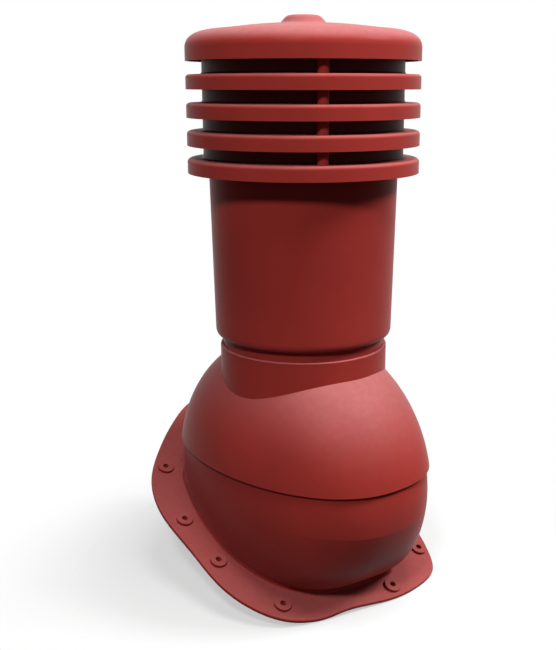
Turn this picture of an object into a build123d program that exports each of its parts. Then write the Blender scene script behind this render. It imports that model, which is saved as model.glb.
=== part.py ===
from build123d import *
from math import sin, cos, radians, sqrt, pi
import os

# Roof ventilation chimney with a pitch adjusting dome. Millimetres.
# Z runs up the duct, X along the tilt axis of the dome, and -Y points down the roof.
# The origin is the centre of the open lower end of the duct.

# Duct and insulation
duct_radius = 62.5
duct_wall = 2.5
duct_above_base = 14.0
foam_gap = 0.2
foam_bottom = 178.0

# Tilting dome, a barrel turned about the tilt axis
axis_height = 60.0
axis_setback = 4.8
dome_radius = 153.0
dome_half_width = 110.4
dome_power = 2.373
dome_wall = 2.5
dome_rim = 28.0
slide_gap = 0.7

# Collar of the dome, and the neck that stands in it
collar_radius = 85.4
collar_wall = 2.6
collar_top = 205.1
collar_edge = 1.2
ledge_depth = 12.6
ledge_width = 2.8
ledge_thickness = 3.0
neck_gap = 0.3
neck_wall = 2.5
neck_top = 246.0
neck_lip = 3.4
neck_lip_thickness = 2.5

# Outer casing, a slightly conical tube with a rolled lower edge
casing_bottom = 215.4
casing_bottom_radius = 89.7
casing_top_radius = 93.6
casing_wall = 2.5
casing_roll = 8.0
casing_ledge = 3.0

# Louvre head
ring_count = 4
ring_pitch = 26.4
ring_bottom = 379.4
ring_radius = 114.0
ring_height = 14.0
ring_wall = 2.5
ring_edge = 3.5
drum_set_in = 15.6
drum_wall = 2.4
drum_foot = 3.0
vent_slot = 6.0
rib_count = 3
rib_width = 10.4
rib_depth = 9.0
rib_angle = -30.5
peg_radius = 3.0
peg_length = 6.0
peg_gap = 0.1
base_thickness = 3.0
base_rim = 5.0
base_lip = 8.0

# Cap
cap_rim = 12.3
cap_turn_in = 6.0
cap_turn_rise = 27.0
cap_shoulder_in = 23.0
cap_shoulder_rise = 28.5
cap_slope_rise = 34.0
cap_peak = 42.5
cap_boss_foot = 27.0
cap_boss_top = 12.0
cap_wall = 2.6
cap_socket = 11.0

# Roof flange, lying on a roof of this pitch at rest
roof_pitch = 25.0
roof_depth = 75.2
flange_thickness = 3.5
wave_rise = 8.0
wave_fall = 4.0
wave_left = -62.0
wave_crest_left = -14.0
wave_crest_right = 30.0
wave_right = 130.0
edge_round = 1.2
screw_hole = 3.1
screw_boss = 8.6
screw_boss_rise = 3.4
lower_top = 85.0
room_under = 20.0

# Sizes that follow from the sizes above
collar_bore = collar_radius - collar_wall
neck_radius = collar_bore - neck_gap
neck_bottom = collar_top - ledge_depth
casing_top = ring_bottom + ring_height - ring_wall - base_thickness
base_top = casing_top + base_thickness
duct_top = base_top + duct_above_base
upstand_top = ring_pitch + ring_height - ring_wall - vent_slot
rib_top = ring_pitch + ring_height - ring_wall
cap_bottom = ring_bottom + ring_count * ring_pitch
drum_radius = ring_radius - drum_set_in

tilt_axis = Axis((0, axis_setback, axis_height), (1, 0, 0))
roof = Plane(
    origin=(0, 0, axis_height - roof_depth),
    x_dir=(1, 0, 0),
    z_dir=(0, -sin(radians(roof_pitch)), cos(radians(roof_pitch))),
)

os.makedirs("parts", exist_ok=True)


def tilted(angle, depth):
    """Plane at an angle about the tilt axis, this far under it, with local Y up the slope."""
    normal = Vector(0, -sin(radians(angle)), cos(radians(angle)))
    foot = Vector(0, axis_setback, axis_height) - normal * depth
    return Plane(origin=foot, x_dir=(1, 0, 0), z_dir=normal)


def barrel_profile(radius, half_width):
    """Points of the barrel's outline beside the tilt axis, from pole to pole."""
    steps = 18
    points = []
    for step in range(steps + 1):
        share = sin(pi * (step / steps - 0.5))
        points.append((half_width * share, radius * sqrt(1.0 - abs(share) ** dome_power)))
    return points


def barrel(inset):
    """Solid barrel of the dome, drawn in by this much, made outside the pieces that use it."""
    half_width = dome_half_width - inset
    with BuildPart() as turned:
        with BuildSketch(Plane(origin=(0, axis_setback, axis_height), x_dir=(1, 0, 0), z_dir=(0, -1, 0))):
            with BuildLine():
                Spline(*barrel_profile(dome_radius - inset, half_width), tangents=((0, 1), (0, -1)))
                Line((half_width, 0), (-half_width, 0))
            make_face()
        revolve(axis=tilt_axis)
    return turned.part


def foot_ring(angle, depth, inset, pull, back, left, right, square_left, square_right, skew):
    """Closed outline round the lower dome in a tilted plane, as a face.

    With no pull, back, skew or widening it is the barrel's own section in that plane."""
    radius = dome_radius - inset
    length = sqrt(radius ** 2 - depth ** 2)
    width = (dome_half_width - inset) * (length / radius) ** (2.0 / dome_power)
    steps = 24
    points = []
    for step in range(steps):
        turn = 2.0 * pi * step / steps
        side = sin(turn)
        reach = right if side > 0 else left
        square = square_right if side > 0 else square_left
        across = (width + reach) * side
        if cos(turn) > 0:
            along = (length + back) * sqrt(max(0.0, 1.0 - abs(side) ** dome_power))
        else:
            front = sqrt(max(0.0, 1.0 - abs(side) ** square))
            along = -(length - pull) * front - skew * across * front
        points.append((across, along))
    with BuildSketch(tilted(angle, depth)) as section:
        with BuildLine():
            Spline(*points, periodic=True)
        make_face()
    return section.sketch


def wave_step(across, start, stop, height):
    """Rise from 0 to this height between start and stop, made of two equal arcs."""
    half = 0.5 * (stop - start)
    bend = (half ** 2 + 0.25 * height ** 2) / height
    if across <= start:
        return 0.0
    if across >= stop:
        return height
    if across <= start + half:
        return bend - sqrt(bend ** 2 - (across - start) ** 2)
    return height - bend + sqrt(bend ** 2 - (stop - across) ** 2)


def wave(across):
    """Height of the flange above the roof plane, which follows the wave of the tile."""
    rise = wave_step(across, wave_left, wave_crest_left, wave_rise)
    fall = wave_step(across, wave_crest_right, wave_right, wave_fall)
    return rise - fall


# Sections of the lower dome down to the roof plane: the upper ones are the barrel's own, the lower ones
# tuck in at the front. Each holds: angle, depth under the axis, pull in of the front, push out of the back,
# widening on the left and on the right, squareness of the front on the left and on the right, skew of the front
foot_depth = roof_depth * cos(radians(roof_pitch)) - axis_setback * sin(radians(roof_pitch))
barrel_only = (0.0, 0.0, 0.0, 0.0, dome_power, dome_power, 0.0)
belt = (3.0, 8.0) + barrel_only
upper_sections = (
    (0.0, -lower_top) + barrel_only,
    (0.0, -0.65 * lower_top) + barrel_only,
    (1.0, -0.3 * lower_top) + barrel_only,
    belt,
)
skirt_sections = (
    belt,
    (14.0, 36.0, 10.0, 1.5, 0.0, -0.5, 2.5, 3.2, 0.04),
    (roof_pitch, foot_depth, 27.0, 4.0, -2.0, 5.0, 3.0, 5.0, 0.12),
)


def dome_part(sections, inset, above, below):
    """Solid through these sections, drawn in by inset and made longer above and below by these lengths."""
    last = len(sections) - 1
    with BuildPart() as lofted:
        for index, (angle, depth, *shape) in enumerate(sections):
            if index == 0:
                depth -= above
            if index == last:
                depth += below
            add(foot_ring(angle, depth, inset, *shape))
        loft()
    return lofted.part


def wave_line(height):
    """Edges of one copy of the wave, this much above it, as lines and arcs."""
    edges = []
    for left, right in zip(wave_stations, wave_stations[1:]):
        middle = 0.5 * (left + right)
        ends = [(across, wave(across) + height) for across in (left, middle, right)]
        if left in (-sheet_half, wave_crest_left, wave_right):
            edges.append(Line(ends[0], ends[2]))
        else:
            edges.append(ThreePointArc(*ends))
    return edges


def wave_band(low, high):
    """Face between two copies of the wave of the flange, at these heights above it."""
    with BuildSketch(wave_plane) as band:
        with BuildLine():
            add(wave_line(high))
            add(wave_line(low))
            for side in (-sheet_half, sheet_half):
                Line((side, wave(side) + low), (side, wave(side) + high))
        make_face()
    return band.sketch


def on_sheet_top(edge):
    """Whether an edge lies on the upper side of the flange's sheet."""
    spot = roof.to_local_coords(edge @ 0.5)
    return abs(spot.Z - wave(spot.X) - flange_thickness) < 0.1


def ring_section(*corners):
    """Closed half section in the XZ plane, from radius and height pairs."""
    with BuildSketch(Plane.XZ) as section:
        with BuildLine():
            Polyline(*corners, close=True)
        make_face()
    return section.sketch


# Flange outline in the roof plane, X across and Y up the slope
outline = (
    (0, 228), (-46, 205), (-84, 172), (-116, 134), (-132, 84), (-130, 30), (-126, -22), (-111, -60),
    (-86, -87), (-58, -99), (-14, -108), (36, -117), (78, -114), (104, -104), (117, -84), (126, -57),
    (131, -20), (132, 30), (130, 82), (114, 133), (84, 172), (46, 205),
)
boss_places = (
    (8, 205), (-94, 142), (-115, 67), (-112, 5), (-82, -69), (38, -104), (107, -75), (118, -4), (116, 66),
    (94, 142),
)
sheet_back = 240.0
sheet_length = 370.0
sheet_half = 145.0
wave_stations = (
    -sheet_half, wave_left, 0.5 * (wave_left + wave_crest_left), wave_crest_left, wave_crest_right,
    0.5 * (wave_crest_right + wave_right), wave_right, sheet_half,
)
wave_plane = Plane(
    origin=roof.origin + roof.y_dir * sheet_back,
    x_dir=(1, 0, 0),
    z_dir=roof.y_dir * -1,
)

# Roof flange: wavy sheet, lower dome and screw bosses in one moulding
lower_outer = dome_wall + slide_gap
lower_inner = lower_outer + dome_wall
overrun = wave_fall + 1.0

with BuildPart() as under_sheet:
    add(wave_band(-room_under, 0.0))
    extrude(amount=sheet_length, dir=roof.y_dir * -1)

with BuildPart() as roof_flange:
    add(wave_band(0.0, flange_thickness))
    extrude(amount=sheet_length, dir=roof.y_dir * -1)
    with BuildSketch(roof):
        with BuildLine():
            Spline(*outline, periodic=True)
        make_face()
    extrude(amount=sheet_back, both=True, mode=Mode.INTERSECT)
    sheet_side = roof_flange.faces().filter_by(GeomType.EXTRUSION)[0]
    fillet(sheet_side.edges().filter_by(on_sheet_top), edge_round)
    add(dome_part(skirt_sections, lower_outer, 0.0, overrun))
    add(under_sheet.part, mode=Mode.SUBTRACT)
    add(dome_part(upper_sections, lower_outer, 0.0, 0.0))
    add(dome_part(skirt_sections, lower_inner, 0.0, overrun), mode=Mode.SUBTRACT)
    add(dome_part(upper_sections, lower_inner, overrun, 0.0), mode=Mode.SUBTRACT)
    for across, up in boss_places:
        seat = roof.origin + roof.x_dir * across + roof.y_dir * up + roof.z_dir * (wave(across) + 1.2)
        boss_plane = Plane(origin=seat, x_dir=(1, 0, 0), z_dir=roof.z_dir)
        with BuildSketch(boss_plane):
            Circle(screw_boss)
        extrude(amount=flange_thickness + screw_boss_rise - 1.2)
        with BuildSketch(boss_plane):
            Circle(screw_hole)
        extrude(amount=room_under, both=True, mode=Mode.SUBTRACT)
    roof_flange.part.label = "roof_flange"
export_step(roof_flange.part, "parts/roof_flange.step")

# Upper dome with its collar, open at the bottom
axis_plane = Plane.XY.offset(axis_height)
with BuildPart() as collar:
    with BuildSketch(Plane.XZ):
        with BuildLine():
            Polyline(
                (collar_radius, collar_top - collar_edge), (collar_radius, axis_height + dome_rim),
                (0, axis_height + dome_rim), (0, collar_top), (collar_radius - collar_edge, collar_top),
            )
            RadiusArc(
                (collar_radius - collar_edge, collar_top), (collar_radius, collar_top - collar_edge), collar_edge
            )
        make_face()
    revolve(axis=Axis.Z)
with BuildPart() as upper_dome:
    add(barrel(0.0))
    add(collar.part)
    add(barrel(dome_wall), mode=Mode.SUBTRACT)
    with BuildSketch(axis_plane.offset(dome_rim)):
        Circle(collar_bore - ledge_width)
    extrude(amount=2 * dome_radius, mode=Mode.SUBTRACT)
    with BuildSketch(Plane.XY.offset(neck_bottom)):
        Circle(collar_bore)
    extrude(amount=2 * ledge_depth, mode=Mode.SUBTRACT)
    with BuildSketch(axis_plane.offset(dome_rim)):
        Circle(collar_bore)
    extrude(amount=neck_bottom - ledge_thickness - axis_height - dome_rim, mode=Mode.SUBTRACT)
    split(bisect_by=axis_plane.offset(dome_rim), keep=Keep.TOP)
    upper_dome.part.label = "upper_dome"
export_step(upper_dome.part, "parts/upper_dome.step")

# Neck sleeve, standing on the collar's ledge, with an outward lip that carries the casing
with BuildPart() as neck_sleeve:
    inner = neck_radius - neck_wall
    add(ring_section(
        (inner, neck_bottom), (neck_radius, neck_bottom), (neck_radius, neck_top - neck_lip_thickness),
        (neck_radius + neck_lip, neck_top - neck_lip_thickness), (neck_radius + neck_lip, neck_top),
        (inner, neck_top),
    ))
    revolve(axis=Axis.Z)
    neck_sleeve.part.label = "neck_sleeve"
export_step(neck_sleeve.part, "parts/neck_sleeve.step")


def casing_radius(height):
    """Outer radius of the casing at this height."""
    share = (height - casing_bottom) / (casing_top - casing_bottom)
    return casing_bottom_radius + share * (casing_top_radius - casing_bottom_radius)


# Outer casing with its rolled lower edge and the inner ledge that rests on the neck
ledge_top = neck_top + casing_ledge
roll_top = casing_bottom + casing_roll
roll_inner = neck_radius + neck_gap
with BuildPart() as casing_tube:
    with BuildSketch(Plane.XZ):
        with BuildLine():
            Line((casing_top_radius, casing_top), (casing_radius(roll_top), roll_top))
            Spline((casing_radius(roll_top), roll_top), (roll_inner, casing_bottom), tangents=((0, -1), (-1, 0)))
            Line((roll_inner, casing_bottom), (roll_inner, casing_bottom + casing_wall))
            Spline(
                (roll_inner, casing_bottom + casing_wall),
                (casing_radius(roll_top) - casing_wall, roll_top),
                tangents=((1, 0), (0, 1)),
            )
            Polyline(
                (casing_radius(roll_top) - casing_wall, roll_top),
                (casing_radius(neck_top) - casing_wall, neck_top),
                (neck_radius - neck_wall, neck_top),
                (neck_radius - neck_wall, ledge_top),
                (casing_radius(ledge_top) - casing_wall, ledge_top),
                (casing_top_radius - casing_wall, casing_top),
                (casing_top_radius, casing_top),
            )
        make_face()
    revolve(axis=Axis.Z)
    casing_tube.part.label = "casing_tube"
export_step(casing_tube.part, "parts/casing_tube.step")

# Foam sleeve round the duct, narrow in the neck and full in the casing
with BuildPart() as insulation_sleeve:
    foam_bore = duct_radius + foam_gap
    foam_neck = neck_radius - neck_wall - foam_gap
    lip_outer = casing_radius(casing_top - base_lip) - casing_wall - foam_gap
    add(ring_section(
        (foam_bore, foam_bottom), (foam_neck, foam_bottom), (foam_neck, ledge_top),
        (casing_radius(ledge_top) - casing_wall - foam_gap, ledge_top),
        (lip_outer, casing_top - base_lip), (lip_outer - base_rim, casing_top - base_lip),
        (lip_outer - base_rim, casing_top), (foam_bore, casing_top),
    ))
    revolve(axis=Axis.Z)
    insulation_sleeve.part.label = "insulation_sleeve"
export_step(insulation_sleeve.part, "parts/insulation_sleeve.step")

# Ventilation duct, open at both ends
with BuildPart() as duct_pipe:
    with BuildSketch(Plane.XY):
        Circle(duct_radius)
        Circle(duct_radius - duct_wall, mode=Mode.SUBTRACT)
    extrude(amount=duct_top)
    duct_pipe.part.label = "duct_pipe"
export_step(duct_pipe.part, "parts/duct_pipe.step")

# Places of the spacer ribs, the same in every ring and in the cap
rib_centre = drum_radius + 0.5 * rib_depth - 0.5 * drum_wall
rib_inner = drum_radius - drum_wall
rib_outer = drum_radius + rib_depth
rib_places = [rib_angle - 90.0 + 360.0 * rib / rib_count for rib in range(rib_count)]


def at_ribs(radius):
    """Locations on every rib's line at this radius, turned with the rib."""
    return [Location((radius * cos(radians(a)), radius * sin(radians(a)), 0), (0, 0, a)) for a in rib_places]


def rib_section():
    """Face of one rib at the origin with a round front, with X away from the axis of the duct."""
    straight = rib_outer - rib_inner - 0.5 * rib_width
    with BuildSketch() as section:
        with Locations((rib_inner - rib_centre + 0.5 * straight, 0)):
            Rectangle(straight, rib_width)
        with Locations((rib_outer - rib_centre - 0.5 * rib_width, 0)):
            Circle(0.5 * rib_width)
    return section.sketch


# Base of the head: closes the foam space, and carries the lowest ring on its pegs
base_radius = ring_radius - 2 * ring_wall
with BuildPart() as head_base:
    add(ring_section(
        (duct_radius + foam_gap, casing_top), (lip_outer - base_rim + foam_gap, casing_top),
        (lip_outer - base_rim + foam_gap, casing_top - base_lip + foam_gap),
        (lip_outer, casing_top - base_lip + foam_gap), (lip_outer, casing_top), (base_radius, casing_top),
        (base_radius, base_top), (duct_radius + foam_gap, base_top),
    ))
    revolve(axis=Axis.Z)
    with BuildSketch(Plane.XY.offset(base_top)):
        with Locations(*at_ribs(rib_centre)):
            Circle(peg_radius)
    extrude(amount=peg_length)
    head_base.part.label = "head_base"
export_step(head_base.part, "parts/head_base.step")

# Louvre rings: skirt, flat top, upstand inside, spacer ribs with pegs, numbered from the top down
for ring in range(ring_count):
    bottom = ring_bottom + (ring_count - 1 - ring) * ring_pitch
    flat = bottom + ring_height
    under = flat - ring_wall
    drum_inner = drum_radius - drum_wall
    with BuildPart() as louvre_ring:
        with BuildSketch(Plane.XZ):
            with BuildLine():
                Polyline(
                    (ring_radius - ring_wall, under), (ring_radius - ring_wall, bottom), (ring_radius, bottom),
                    (ring_radius, flat - ring_edge),
                )
                RadiusArc((ring_radius, flat - ring_edge), (ring_radius - ring_edge, flat), -ring_edge)
                Line((ring_radius - ring_edge, flat), (drum_radius + drum_foot, flat))
                RadiusArc((drum_radius + drum_foot, flat), (drum_radius, flat + drum_foot), drum_foot)
                Polyline(
                    (drum_radius, flat + drum_foot), (drum_radius, bottom + upstand_top),
                    (drum_inner, bottom + upstand_top), (drum_inner, under), (ring_radius - ring_wall, under),
                )
            make_face()
        revolve(axis=Axis.Z)
        with BuildSketch(Plane.XY.offset(under)):
            with Locations(*at_ribs(rib_centre)):
                add(rib_section())
        extrude(amount=bottom + rib_top - under)
        with BuildSketch(Plane.XY.offset(bottom + rib_top)):
            with Locations(*at_ribs(rib_centre)):
                Circle(peg_radius)
        extrude(amount=peg_length)
        with BuildSketch(Plane.XY.offset(under)):
            with Locations(*at_ribs(rib_centre)):
                Circle(peg_radius + peg_gap)
        extrude(amount=peg_length + peg_gap, mode=Mode.SUBTRACT)
        louvre_ring.part.label = "louvre_ring_" + str(ring + 1)
    export_step(louvre_ring.part, "parts/louvre_ring_" + str(ring + 1) + ".step")


def cap_curve(inset):
    """Edges of the cap's half section above its rim, drawn in by inset, from the rim to the centre."""
    rim = Vector(ring_radius - inset, cap_bottom + cap_rim)
    turn = Vector(ring_radius - cap_turn_in - 0.8 * inset, cap_bottom + cap_turn_rise - inset)
    shoulder = Vector(ring_radius - cap_shoulder_in, cap_bottom + cap_shoulder_rise - inset)
    foot = Vector(cap_boss_foot, cap_bottom + cap_slope_rise - inset)
    peak = Vector(cap_boss_top, cap_bottom + cap_peak - inset)
    third = (shoulder.X - foot.X) / 3.0
    half = (foot.X - peak.X) / 2.0
    return [
        Bezier(rim, rim + Vector(0, 7.2 - 0.4 * inset), turn, shoulder),
        Bezier(shoulder, shoulder + (shoulder - turn).normalized() * third, foot + Vector(third, 0.6), foot),
        Bezier(foot, foot - Vector(half, -0.3), peak + Vector(half, 0), peak),
        Line(peak, (0, peak.Y)),
    ]


# Cap: domed cover with a raised centre, and three sockets for the pegs of the top ring
with BuildPart() as cap:
    with BuildSketch(Plane.XZ):
        with BuildLine():
            add(cap_curve(0.0))
            add(cap_curve(cap_wall))
            Line((0, cap_bottom + cap_peak), (0, cap_bottom + cap_peak - cap_wall))
            Polyline(
                (ring_radius, cap_bottom + cap_rim), (ring_radius, cap_bottom),
                (ring_radius - cap_wall, cap_bottom), (ring_radius - cap_wall, cap_bottom + cap_rim),
            )
        make_face()
    revolve(axis=Axis.Z)
    with BuildSketch(Plane.XY.offset(cap_bottom + ring_height - ring_wall)):
        with Locations(*at_ribs(rib_centre)):
            add(rib_section())
            Circle(peg_radius + peg_gap, mode=Mode.SUBTRACT)
    extrude(amount=cap_socket)
    cap.part.label = "cap"
export_step(cap.part, "parts/cap.step")
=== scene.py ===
import math

import bmesh
import bpy
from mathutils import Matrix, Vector
from mathutils.bvhtree import BVHTree


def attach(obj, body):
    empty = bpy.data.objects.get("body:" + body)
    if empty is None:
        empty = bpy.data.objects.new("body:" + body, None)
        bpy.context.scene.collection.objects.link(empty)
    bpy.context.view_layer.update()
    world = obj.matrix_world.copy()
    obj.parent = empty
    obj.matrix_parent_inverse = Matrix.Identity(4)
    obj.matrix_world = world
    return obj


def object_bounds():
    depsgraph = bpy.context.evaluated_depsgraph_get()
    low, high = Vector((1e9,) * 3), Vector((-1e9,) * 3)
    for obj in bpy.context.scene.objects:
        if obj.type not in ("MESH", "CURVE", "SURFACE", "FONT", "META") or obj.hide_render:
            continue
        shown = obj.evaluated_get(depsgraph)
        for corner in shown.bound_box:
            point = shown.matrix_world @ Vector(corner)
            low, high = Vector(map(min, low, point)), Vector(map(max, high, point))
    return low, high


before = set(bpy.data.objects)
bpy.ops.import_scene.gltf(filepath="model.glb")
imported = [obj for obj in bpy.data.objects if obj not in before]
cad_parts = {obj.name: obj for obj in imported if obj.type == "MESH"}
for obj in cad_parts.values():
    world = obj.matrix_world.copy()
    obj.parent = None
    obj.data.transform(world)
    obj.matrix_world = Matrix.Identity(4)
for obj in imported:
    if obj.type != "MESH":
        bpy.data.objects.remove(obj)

bl_info = {
    "name": "Roof ventilation chimney",
    "version": (1, 0, 0),
    "blender": (4, 5, 0),
    "location": "View3D > Sidebar > Chimney",
    "description": "Finishes of a roof ventilation chimney, with its floor, lamps and camera",
    "category": "Object",
}

CAD_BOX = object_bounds()
HOOD_PLASTIC = ("cap", "casing_tube", "neck_sleeve", "upper_dome")
RING_PLASTIC = ("louvre_ring_1", "louvre_ring_2", "louvre_ring_3", "louvre_ring_4")

# Radius of the drum inside the louvre rings, over which the shade in the gaps is painted
DRUM_RADIUS = 0.0984

# Roof plane that the flange lies on: pitch, origin and directions
ROOF_PITCH = math.radians(25.0)
ROOF_ORIGIN = Vector((0.0, 0.0, -0.0152))
UPHILL = Vector((0.0, math.cos(ROOF_PITCH), math.sin(ROOF_PITCH)))
OUTWARD = Vector((0.0, -math.sin(ROOF_PITCH), math.cos(ROOF_PITCH)))
ACROSS = Vector((1.0, 0.0, 0.0))

# Search for the corner at the foot of the lower dome: its middle, how far out the rays start, their
# heights at the wall, how far from the wall they drop to the sheet, and from how high
FOOT_CENTRE = ROOF_ORIGIN + UPHILL * 0.030
RAY_REACH = 0.20
WALL_HEIGHTS = (0.0185, 0.0225)
SHEET_REACHES = (0.002, 0.004, 0.006)
SHEET_DROP = 0.004
CORNER_REACH = 0.001
CORNER_DROP = 0.003
FILLET_STATIONS = 144
FILLET_SEGMENTS = 6

# Lamps: name, degrees round from the front, degrees up, size, and level at a white face
LAMPS = (
    ("side", 44.0, 44.0, 0.6, 0.90),
    ("front", -52.0, 44.0, 0.3, 0.52),
    ("top", -10.0, 72.0, 1.0, 0.70),
)
LAMP_DISTANCE = 2.4
LAMP_AIM = Vector((0.0, 0.0, 0.25))

CAMERA_PLACE = (-0.6205, -0.7303, 0.4639)
CAMERA_DIRECTION = (0.6277, 0.7389, -0.2450)
CAMERA_SHIFT = -0.0389
SENSOR_WIDTH = 36.0

# Floor: gap under the part, half its width, cover over the white behind it, and where it fades out
FLOOR_GAP = 0.0005
FLOOR_HALF = 12.0
FLOOR_COVER = 0.48
FLOOR_FADE = (0.18, 0.38)
WHITE = (1.0, 1.0, 1.0)


# Shader maths

class Sig:
    """A socket of a shader tree that takes part in Python expressions."""

    def __init__(self, tree, socket):
        self.tree = tree
        self.socket = socket

    def _math(self, operation, first, second=0.0):
        return self.tree.node("ShaderNodeMath", {"operation": operation}, {0: first, 1: second})

    def __add__(self, other):
        return self._math("ADD", self, other)

    def __radd__(self, other):
        return self._math("ADD", other, self)

    def __sub__(self, other):
        return self._math("SUBTRACT", self, other)

    def __rsub__(self, other):
        return self._math("SUBTRACT", other, self)

    def __mul__(self, other):
        return self._math("MULTIPLY", self, other)

    def __rmul__(self, other):
        return self._math("MULTIPLY", other, self)


class Tree:
    """The node tree of a material or of the world, which nodes are added to."""

    def __init__(self, owner):
        owner.use_nodes = True
        self.nodes = owner.node_tree.nodes
        self.links = owner.node_tree.links
        self.nodes.clear()

    def node(self, kind, settings=None, inputs=None, output=0):
        """Adds a node, sets it up, fills its sockets and returns one of its outputs."""
        made = self.nodes.new(kind)
        for key, value in (settings or {}).items():
            setattr(made, key, value)
        for key, value in (inputs or {}).items():
            if isinstance(value, Sig):
                self.links.new(value.socket, made.inputs[key])
            else:
                made.inputs[key].default_value = value
        if not made.outputs:
            return None
        return Sig(self, made.outputs[output])

    def mix(self, factor, first, second):
        """Mix of two colours."""
        return self.node("ShaderNodeMix", {"data_type": "RGBA"}, {0: factor, 6: first, 7: second}, 2)

    def ramp(self, value, low, high):
        """Value taken from 0 at low to 1 at high."""
        return self.node(
            "ShaderNodeMapRange", {"interpolation_type": "SMOOTHSTEP"},
            {0: value, 1: low, 2: high, 3: 0.0, 4: 1.0},
        )


def shade(colour, factor=1.0):
    """Colour times a factor, with full alpha."""
    return tuple(factor * channel for channel in colour) + (1.0,)


def moulded_plastic(name, colour, roughness, dust_and_sheen, grain, drum=0.0):
    """Satin moulded plastic: clouded colour, pale dust and a painted sheen on what faces up, fine grain
    in the surface.

    With a drum radius, what lies within it round the duct is darkened: painted shade in the gaps between
    the rings."""
    material = bpy.data.materials.new(name)
    tree = Tree(material)
    place = tree.node("ShaderNodeTexCoord", output=3)
    facing = tree.node("ShaderNodeTexCoord", output=1)
    up = tree.node("ShaderNodeSeparateXYZ", inputs={0: facing}, output=2)
    clouds = tree.node("ShaderNodeTexNoise", inputs={"Vector": place, "Scale": 9.0, "Detail": 4.0})
    specks = tree.node("ShaderNodeTexNoise", inputs={"Vector": place, "Scale": 160.0, "Detail": 3.0})
    peel = tree.node("ShaderNodeTexNoise", inputs={"Vector": place, "Scale": 420.0, "Detail": 2.0})
    body = tree.mix(tree.ramp(clouds, 0.35, 0.65), shade(colour, 0.92), shade(colour, 1.06))
    # Faces turned up are lightened towards pale pink: partly dust, partly a painted sheen
    sheen_and_dust_mask = tree.ramp(up, 0.20, 0.95) * (0.88 + 0.12 * tree.ramp(specks, 0.35, 0.65)) * dust_and_sheen
    pale_dust_and_sheen = shade([channel + grey for channel, grey in zip(colour, (0.66, 0.40, 0.41))], 0.5)
    skin = tree.mix(sheen_and_dust_mask, body, pale_dust_and_sheen)
    # Painted shade: the drum in the gaps between the rings is darkened to near black
    if drum:
        flat = tree.node(
            "ShaderNodeVectorMath", {"operation": "MULTIPLY"}, {0: place, 1: (1.0, 1.0, 0.0)}
        )
        out = tree.node("ShaderNodeVectorMath", {"operation": "LENGTH"}, {0: flat}, 1)
        painted_drum_shade = shade([channel + 0.02 for channel in colour], 0.20)
        skin = tree.mix(tree.ramp(out, drum + 0.0002, drum + 0.0022), painted_drum_shade, skin)
    rough = roughness + (clouds - 0.5) * 0.08 + (specks - 0.5) * 0.05 + sheen_and_dust_mask * 0.15
    bump = tree.node(
        "ShaderNodeBump", inputs={"Strength": grain, "Distance": 0.0004, "Height": peel + specks * 0.6}
    )
    shader = tree.node(
        "ShaderNodeBsdfPrincipled",
        inputs={"Base Color": skin, "Roughness": rough, "Normal": bump, "IOR": 1.49,
                "Specular IOR Level": 0.03, "Sheen Weight": 0.05, "Sheen Roughness": 0.45,
                "Sheen Tint": (1.0, 0.85, 0.88, 1.0)},
    )
    tree.node("ShaderNodeOutputMaterial", inputs={"Surface": shader})
    return material


def clad(name, material):
    """Gives a CAD node this material."""
    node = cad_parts[name]
    node.data.materials.clear()
    node.data.materials.append(material)


def mesh_object(name, mesh, material):
    """New object at the origin that shows this mesh."""
    piece = bpy.data.objects.new(name, mesh)
    bpy.context.scene.collection.objects.link(piece)
    mesh.materials.append(material)
    return piece


class ChimneySizes(bpy.types.PropertyGroup):
    """Sizes of the pieces that are added to the frame."""
    fillet: bpy.props.FloatProperty(
        name="Foot fillet", description="Radius of the fillet round the foot of the lower dome",
        default=0.0034, min=0.0005, max=0.006, unit="LENGTH",
    )


class ChimneyColours(bpy.types.PropertyGroup):
    """Colours and finishes of the chimney."""
    brick: bpy.props.FloatVectorProperty(
        name="Plastic", description="Colour of the brick red plastic", default=(0.300, 0.029, 0.023),
        size=3, min=0.0, max=1.0, subtype="COLOR",
    )
    roughness: bpy.props.FloatProperty(
        name="Plastic roughness", description="Roughness of the plastic", default=0.38, min=0.0, max=1.0,
        subtype="FACTOR",
    )
    duct: bpy.props.FloatVectorProperty(
        name="Duct", description="Colour of the duct's grey plastic", default=(0.30, 0.30, 0.31),
        size=3, min=0.0, max=1.0, subtype="COLOR",
    )
    foam: bpy.props.FloatVectorProperty(
        name="Foam", description="Colour of the insulation", default=(0.72, 0.70, 0.64),
        size=3, min=0.0, max=1.0, subtype="COLOR",
    )


class ChimneyStage(bpy.types.PropertyGroup):
    """Floor, lamps and camera."""
    lamp_level: bpy.props.FloatProperty(
        name="Lamp level", description="Factor on all lamps", default=1.0, min=0.0, max=5.0,
        subtype="FACTOR",
    )
    world_level: bpy.props.FloatProperty(
        name="Fill level", description="Strength of the light from all round", default=0.06, min=0.0,
        max=2.0, subtype="FACTOR",
    )
    lens: bpy.props.FloatProperty(
        name="Lens", description="Focal length of the camera", default=52.9, min=10.0, max=200.0,
        subtype="DISTANCE_CAMERA",
    )


class CHIMNEY_OT_plastic(bpy.types.Operator):
    """Finish the red mouldings in satin plastic"""
    bl_idname = "chimney.plastic"
    bl_label = "Red mouldings"

    def execute(self, context):
        look = context.scene.chimney_colours
        # The fourth value sets the dust and painted sheen on faces turned up
        hood = moulded_plastic("hood plastic", look.brick, look.roughness, 0.55, 0.12)
        for name in HOOD_PLASTIC:
            clad(name, hood)
        rings = moulded_plastic("ring plastic", look.brick, look.roughness, 0.34, 0.12, DRUM_RADIUS)
        for name in RING_PLASTIC:
            clad(name, rings)
        flange = moulded_plastic("flange plastic", look.brick, look.roughness + 0.02, 0.26, 0.14)
        clad("roof_flange", flange)
        # The inner base gets the brick red darkened by a quarter: painted shade
        shaded = [0.75 * channel for channel in look.brick]
        clad("head_base", moulded_plastic("inner plastic", shaded, look.roughness + 0.06, 0.05, 0.12))
        return {"FINISHED"}


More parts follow.
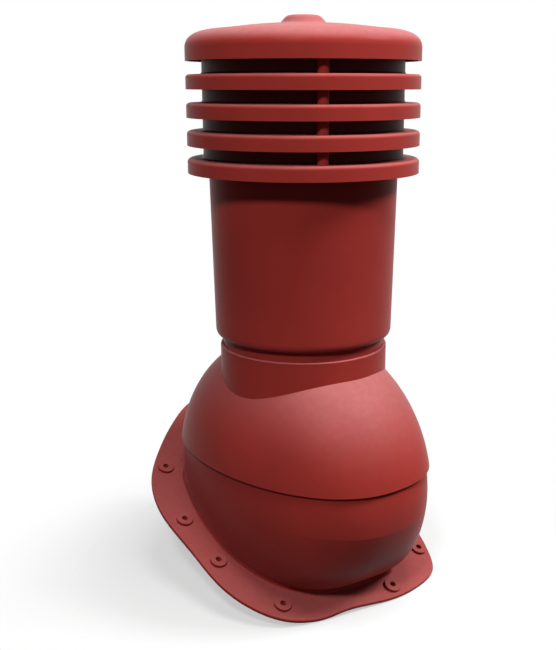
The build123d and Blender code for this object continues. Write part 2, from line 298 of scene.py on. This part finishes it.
class CHIMNEY_OT_duct(bpy.types.Operator):
    """Finish the duct and the foam round it"""
    bl_idname = "chimney.duct"
    bl_label = "Duct and insulation"

    def execute(self, context):
        look = context.scene.chimney_colours
        clad("duct_pipe", moulded_plastic("duct plastic", look.duct, 0.38, 0.08, 0.10))
        material = bpy.data.materials.new("insulation foam")
        tree = Tree(material)
        place = tree.node("ShaderNodeTexCoord", output=3)
        cells = tree.node(
            "ShaderNodeTexVoronoi", {"feature": "F1"},
            {"Vector": place, "Scale": 260.0, "Randomness": 0.9},
        )
        stains = tree.node("ShaderNodeTexNoise", inputs={"Vector": place, "Scale": 22.0, "Detail": 4.0})
        bead = tree.mix(tree.ramp(cells, 0.25, 0.75), shade(look.foam), shade(look.foam, 0.6))
        skin = tree.mix(tree.ramp(stains, 0.5, 0.8) * 0.3, bead, shade(look.foam, 0.75))
        bump = tree.node(
            "ShaderNodeBump", inputs={"Strength": 0.5, "Distance": 0.0008, "Height": 1.0 - cells}
        )
        shader = tree.node(
            "ShaderNodeBsdfPrincipled",
            inputs={"Base Color": skin, "Roughness": 0.85 + stains * 0.1, "Normal": bump},
        )
        tree.node("ShaderNodeOutputMaterial", inputs={"Surface": shader})
        clad("insulation_sleeve", material)
        return {"FINISHED"}


def wall_foot(tree, angle, leg):
    """Points round the corner where the lower dome's wall meets the flange, in this direction.

    They lie up the wall, in the corner, out on the sheet, and inside the plastic behind the corner."""
    heading = ACROSS * math.sin(angle) + UPHILL * math.cos(angle)
    outside = FOOT_CENTRE + heading * RAY_REACH
    spots = []
    for height in WALL_HEIGHTS:
        spot = tree.ray_cast(outside + OUTWARD * height, -heading)[0]
        if spot is None:
            raise RuntimeError("no wall found round the foot of the lower dome")
        spots.append(spot)
    slope = (spots[1] - spots[0]) / (spots[1] - spots[0]).dot(OUTWARD)
    # the lowest probe beside the wall lies on the sheet, not on a screw boss
    probes = [
        tree.ray_cast(spots[0] + heading * reach + OUTWARD * SHEET_DROP, -OUTWARD)[0]
        for reach in SHEET_REACHES
    ]
    sheet = min(probes, key=OUTWARD.dot)
    for _ in range(2):
        corner = spots[0] - slope * (spots[0] - sheet).dot(OUTWARD)
        sheet = tree.ray_cast(corner + heading * CORNER_REACH + OUTWARD * CORNER_DROP, -OUTWARD)[0]
    far = tree.ray_cast(corner + heading * leg + OUTWARD * CORNER_DROP, -OUTWARD)[0]
    along = (far - corner).normalized()
    sink = 0.06 * leg
    return (
        corner + slope.normalized() * leg - heading * sink,
        corner,
        corner + along * leg - OUTWARD * sink,
        corner - (heading + OUTWARD) * 0.3 * leg,
    )


class CHIMNEY_OT_foot_fillet(bpy.types.Operator):
    """Add the fillet where the lower dome rises from the flange"""
    bl_idname = "chimney.foot_fillet"
    bl_label = "Foot fillet"

    def execute(self, context):
        radius = context.scene.chimney_sizes.fillet
        tree = BVHTree.FromObject(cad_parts["roof_flange"], context.evaluated_depsgraph_get())
        stations = [
            wall_foot(tree, 2.0 * math.pi * index / FILLET_STATIONS, 1.3 * radius)
            for index in range(FILLET_STATIONS)
        ]
        shape = bmesh.new()
        loops = []
        for row in zip(*stations):
            line = [shape.verts.new(spot) for spot in row]
            loops.append([shape.edges.new(pair) for pair in zip(line, line[1:] + line[:1])])
        for first, second in zip(loops, loops[1:] + loops[:1]):
            bmesh.ops.bridge_loops(shape, edges=first + second)
        bmesh.ops.bevel(
            shape, geom=loops[1], affect="EDGES", offset=radius, segments=FILLET_SEGMENTS, profile=0.5,
            material=-1,
        )
        bmesh.ops.remove_doubles(shape, verts=shape.verts, dist=0.00001)
        bmesh.ops.recalc_face_normals(shape, faces=shape.faces)
        mesh = bpy.data.meshes.new("foot_fillet")
        shape.to_mesh(mesh)
        shape.free()
        mesh.polygons.foreach_set("use_smooth", [True] * len(mesh.polygons))
        fillet = mesh_object("foot_fillet", mesh, bpy.data.materials["flange plastic"])
        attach(fillet, "flange")
        return {"FINISHED"}


def area_lamp(name, azimuth, elevation, size, level):
    """Square soft lamp this far round and up from the front, which lights a white face to this level."""
    data = bpy.data.lights.new(name, "AREA")
    data.energy = level * (math.pi * LAMP_DISTANCE) ** 2
    data.size = size
    lamp = bpy.data.objects.new(name, data)
    turn, rise = math.radians(azimuth), math.radians(elevation)
    away = Vector((math.sin(turn) * math.cos(rise), -math.cos(turn) * math.cos(rise), math.sin(rise)))
    lamp.location = LAMP_AIM + away * LAMP_DISTANCE
    lamp.rotation_euler = away.to_track_quat("Z", "Y").to_euler()
    bpy.context.scene.collection.objects.link(lamp)


class CHIMNEY_OT_stage(bpy.types.Operator):
    """Set up the floor, the lamps, the world and the camera"""
    bl_idname = "chimney.stage"
    bl_label = "Stage"

    def execute(self, context):
        scene = context.scene
        level = scene.chimney_stage
        mesh = bpy.data.meshes.new("floor")
        shape = bmesh.new()
        bmesh.ops.create_grid(shape, x_segments=1, y_segments=1, size=FLOOR_HALF)
        bmesh.ops.translate(shape, verts=shape.verts, vec=(0.0, 0.0, CAD_BOX[0][2] - FLOOR_GAP))
        shape.to_mesh(mesh)
        shape.free()
        material = bpy.data.materials.new("pale floor")
        tree = Tree(material)
        place = tree.node("ShaderNodeTexCoord", output=3)
        mottle = tree.node("ShaderNodeTexNoise", inputs={"Vector": place, "Scale": 3.0, "Detail": 2.0})
        seen = self.seen(tree)
        plain = tree.mix(mottle, shade(WHITE, 0.17), shade(WHITE, 0.19))
        far = tree.node("ShaderNodeVectorMath", {"operation": "LENGTH"}, {0: place}, 1)
        shader = tree.node(
            "ShaderNodeBsdfPrincipled",
            inputs={"Base Color": tree.mix(seen, plain, shade(WHITE, 0.72)), "Roughness": 0.9,
                    "Specular IOR Level": 0.0,
                    "Alpha": FLOOR_COVER * (1.0 - tree.ramp(far, *FLOOR_FADE))},
        )
        tree.node("ShaderNodeOutputMaterial", inputs={"Surface": shader})
        mesh_object("floor", mesh, material)

        world = bpy.data.worlds.new("studio")
        scene.world = world
        tree = Tree(world)
        seen = self.seen(tree)
        strength = level.world_level + seen * (1.0 - level.world_level)
        sky = tree.node("ShaderNodeBackground", inputs={"Color": shade(WHITE), "Strength": strength})
        tree.node("ShaderNodeOutputWorld", inputs={"Surface": sky})

        for name, azimuth, elevation, size, lit in LAMPS:
            area_lamp(name, azimuth, elevation, size, lit * level.lamp_level)

        data = bpy.data.cameras.new("camera")
        data.lens = level.lens
        data.sensor_width = SENSOR_WIDTH
        data.shift_x = CAMERA_SHIFT
        camera = bpy.data.objects.new("camera", data)
        camera.location = CAMERA_PLACE
        camera.rotation_euler = Vector(CAMERA_DIRECTION).to_track_quat("-Z", "Y").to_euler()
        scene.collection.objects.link(camera)
        scene.camera = camera
        scene.view_settings.view_transform = "Standard"
        return {"FINISHED"}

    @staticmethod
    def seen(tree):
        """1 for rays from the camera and for those seen in gloss or through glass, else 0."""
        path = tree.nodes.new("ShaderNodeLightPath")
        camera, gloss, glass = (
            Sig(tree, path.outputs[name])
            for name in ("Is Camera Ray", "Is Glossy Ray", "Is Transmission Ray")
        )
        either = tree.node("ShaderNodeMath", {"operation": "MAXIMUM"}, {0: gloss, 1: glass})
        return tree.node("ShaderNodeMath", {"operation": "MAXIMUM"}, {0: camera, 1: either})


OPERATORS = (CHIMNEY_OT_plastic, CHIMNEY_OT_duct, CHIMNEY_OT_foot_fillet, CHIMNEY_OT_stage)


class CHIMNEY_PT_panel(bpy.types.Panel):
    """Lists the chimney's values and steps"""
    bl_idname = "CHIMNEY_PT_panel"
    bl_label = "Chimney"
    bl_space_type = "VIEW_3D"
    bl_region_type = "UI"
    bl_category = "Chimney"

    def draw(self, context):
        scene = context.scene
        for group in (scene.chimney_sizes, scene.chimney_colours, scene.chimney_stage):
            for name in group.bl_rna.properties.keys():
                if name not in ("rna_type", "name"):
                    self.layout.prop(group, name)
        for operator in OPERATORS:
            self.layout.operator(operator.bl_idname)


GROUPS = (
    ("chimney_sizes", ChimneySizes),
    ("chimney_colours", ChimneyColours),
    ("chimney_stage", ChimneyStage),
)


def register():
    for name, group in GROUPS:
        bpy.utils.register_class(group)
        setattr(bpy.types.Scene, name, bpy.props.PointerProperty(type=group))
    for operator in OPERATORS:
        bpy.utils.register_class(operator)
    bpy.utils.register_class(CHIMNEY_PT_panel)


def unregister():
    bpy.utils.unregister_class(CHIMNEY_PT_panel)
    for operator in reversed(OPERATORS):
        bpy.utils.unregister_class(operator)
    for name, group in reversed(GROUPS):
        delattr(bpy.types.Scene, name)
        bpy.utils.unregister_class(group)


def main():
    register()
    bpy.ops.chimney.plastic()
    bpy.ops.chimney.duct()
    bpy.ops.chimney.foot_fillet()
    bpy.ops.chimney.stage()
    bpy.context.view_layer.update()


if __name__ == "__main__":
    main()
